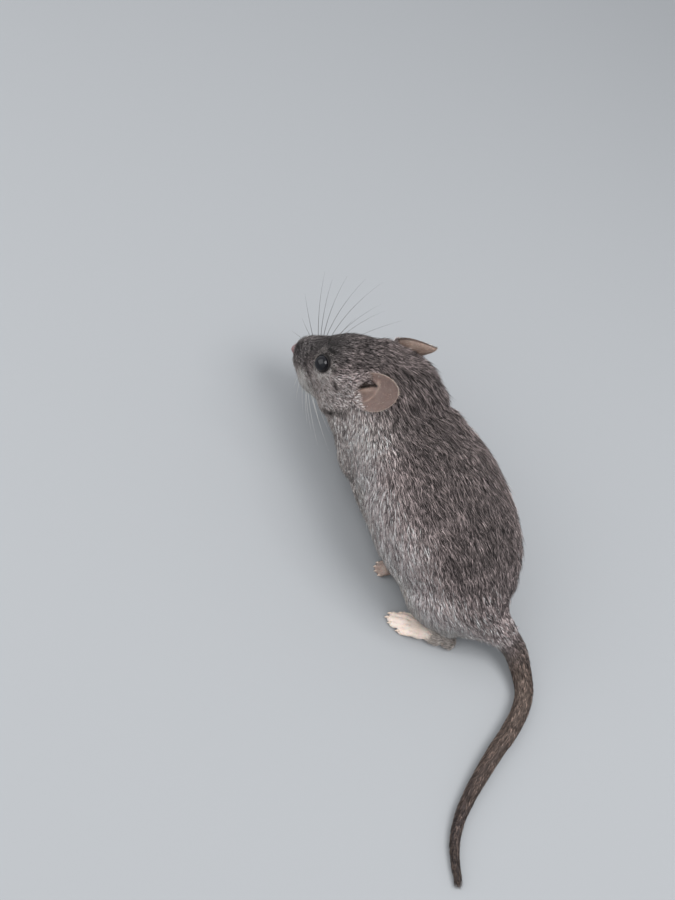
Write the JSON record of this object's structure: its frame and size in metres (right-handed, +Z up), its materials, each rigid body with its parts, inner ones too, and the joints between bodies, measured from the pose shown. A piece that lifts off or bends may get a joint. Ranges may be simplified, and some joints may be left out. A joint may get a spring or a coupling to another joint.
{
  "type": "young brown rat",
  "caption": "Life-size still model of a young brown rat crouched on the floor, head turned to its left, furred body, bare ears and feet, short-haired tail laid in a curve.",
  "frame": {"origin": "on the floor, under the middle of the animal's outer box", "axes": "+Z up from the floor; the trunk heads along -Y and the tail trails towards +Y; +X is the animal's left"},
  "size_m": [0.0808, 0.2192, 0.0651],
  "materials": {
    "coat": "short dense fur, grizzled grey-brown, darker along the back and paler below",
    "ear_skin": "thin bare brownish-pink skin, satin",
    "foot_skin": "pale pinkish-white skin with sparse short hair, satin",
    "tail_skin": "fine ringed scales under short brown bristles",
    "nose_skin": "moist pink skin",
    "eye": "wet glossy black"
  },
  "bodies": {
    "root": {"head": "coat", "neck": "coat", "chest": "coat", "belly": "coat", "rump": "coat", "thigh_left": "coat", "thigh_right": "coat", "foreleg_left": "coat", "foreleg_right": "coat", "ear_left": "ear_skin", "ear_right": "ear_skin", "eye_left": "eye", "eye_right": "eye", "nose": "nose_skin", "forefoot_left": "foot_skin", "forefoot_right": "foot_skin", "hindfoot_left": "foot_skin", "hindfoot_right": "foot_skin", "tail_base": "tail_skin", "tail_middle": "tail_skin", "tail_end": "tail_skin", "tail_tip": "tail_skin"}
  },
  "joints": []
}
